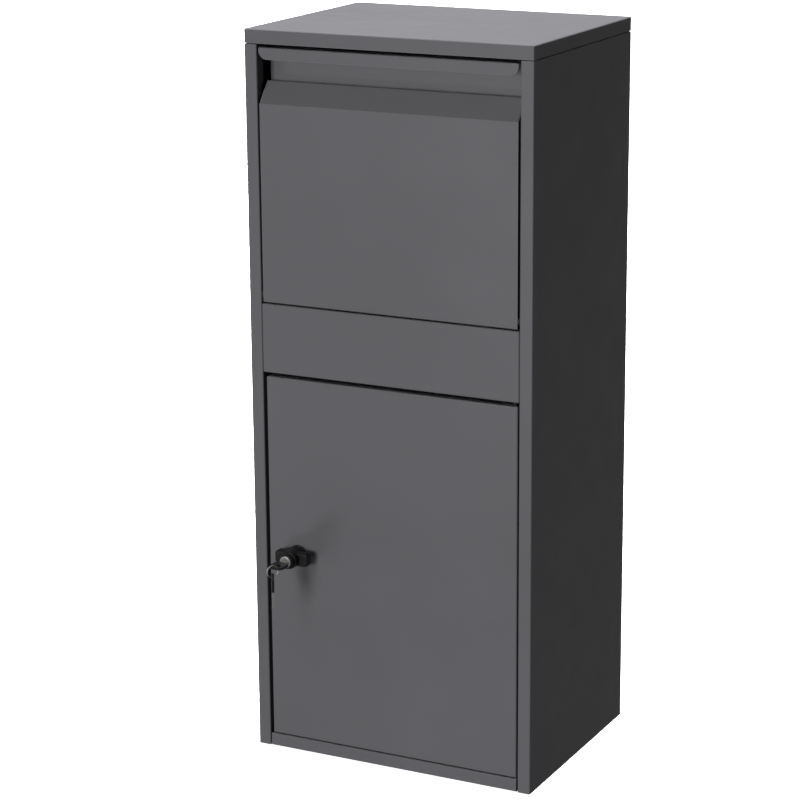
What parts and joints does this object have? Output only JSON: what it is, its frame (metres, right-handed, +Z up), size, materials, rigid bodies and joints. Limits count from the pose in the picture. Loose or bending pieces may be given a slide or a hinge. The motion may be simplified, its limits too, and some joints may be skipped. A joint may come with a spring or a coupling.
{
  "type": "parcel drop box",
  "caption": "Free-standing steel parcel drop box with a tilting hopper behind a lipped flap, a sloping inner chute and a lockable collection door below.",
  "frame": {"origin": "on the floor, in the middle of the cabinet's 415 by 320 mm footprint", "axes": "+X to the user's right, +Y from the front to the back, +Z up; the flap and the door face -Y"},
  "size_m": [0.415, 0.3944, 1],
  "materials": {
    "powder_coat": "satin anthracite powder coat",
    "zinc_steel": "bright zinc plated",
    "aluminium_rivet": "plain, lightly dulled",
    "black_plastic": "fine moulded black",
    "nylon": "black nylon",
    "black_rubber": "matt black",
    "foam": "closed-cell foam",
    "bright_chrome": "polished",
    "nickel_steel": "nickel plated",
    "die_cast": "grey die-cast zinc"
  },
  "bodies": {
    "cabinet": {"left_side_panel": "powder_coat", "right_side_panel": "powder_coat", "back_panel": "powder_coat", "top_cap": "powder_coat", "cap_gasket": "foam", "cap_screws": "zinc_steel", "base_pan": "powder_coat", "middle_rail": "powder_coat", "header_rail": "powder_coat", "drop_baffle": "powder_coat", "strike_strip": "powder_coat", "back_panel_rivets": "aluminium_rivet", "baffle_rivets": "aluminium_rivet", "middle_rail_rivets": "powder_coat", "strike_rivets": "powder_coat", "stop_brackets": "powder_coat", "stop_bracket_rivets": "powder_coat", "hopper_open_bumpers": "black_rubber", "hopper_rest_bumpers": "black_rubber", "door_bumpers": "black_rubber", "hopper_pivot_pins": "zinc_steel", "hopper_pivot_clips": "zinc_steel", "door_hinge_bush": "nylon", "door_hinge_washer": "nylon"},
    "hopper": {"hopper_front": "powder_coat", "hopper_left_cheek": "powder_coat", "hopper_right_cheek": "powder_coat", "hopper_tray": "powder_coat", "hopper_rivets": "powder_coat", "hopper_pivot_bushes": "nylon"},
    "door": {"door_panel": "powder_coat", "door_stiffener": "powder_coat", "door_upper_hinge_pin": "zinc_steel", "door_lower_hinge_pin": "zinc_steel", "lock_backing_plate": "zinc_steel", "lock_housing": "die_cast", "lock_escutcheon": "black_plastic", "lock_nut": "zinc_steel"},
    "knob": {"lock_spindle": "die_cast", "lock_knob": "black_plastic", "lock_bezel": "bright_chrome", "lock_cam": "zinc_steel", "lock_cam_washer": "zinc_steel", "lock_cam_screw": "zinc_steel"},
    "key_plug": {"lock_plug": "nickel_steel", "key_blade": "nickel_steel", "key_bow": "black_plastic"},
    "key_ring": {"key_ring": "bright_chrome"},
    "spare_key": {"spare_key_blade": "nickel_steel", "spare_key_bow": "black_plastic"}
  },
  "joints": [
    {"name": "hopper_tilt", "type": "hinge", "parent": "cabinet", "child": "hopper", "pos_m": [0, -0.1535, 0.646], "axis": [1, 0, 0], "range_deg": [0, 35]},
    {"name": "door_swing", "type": "hinge", "parent": "cabinet", "child": "door", "pos_m": [0.1817, -0.1545, 0.27], "axis": [0, 0, 1], "range_deg": [0, 100]},
    {"name": "knob_turn", "type": "hinge", "parent": "door", "child": "knob", "pos_m": [-0.14, -0.16, 0.287], "axis": [0, 1, 0], "range_deg": [0, 90]},
    {"name": "key_turn", "type": "hinge", "parent": "knob", "child": "key_plug", "pos_m": [-0.14, -0.18, 0.287], "axis": [0, 1, 0], "range_deg": [0, 90]},
    {"name": "key_ring_swing", "type": "hinge", "parent": "key_plug", "child": "key_ring", "pos_m": [-0.14373, -0.22424, 0.287], "axis": [0.5446, 0.8387, 0], "range_deg": [-20, 20]},
    {"name": "spare_key_swing", "type": "hinge", "parent": "key_ring", "child": "spare_key", "pos_m": [-0.14373, -0.22424, 0.27375], "axis": [0.866, 0.5, 0], "range_deg": [-30, 30]}
  ]
}
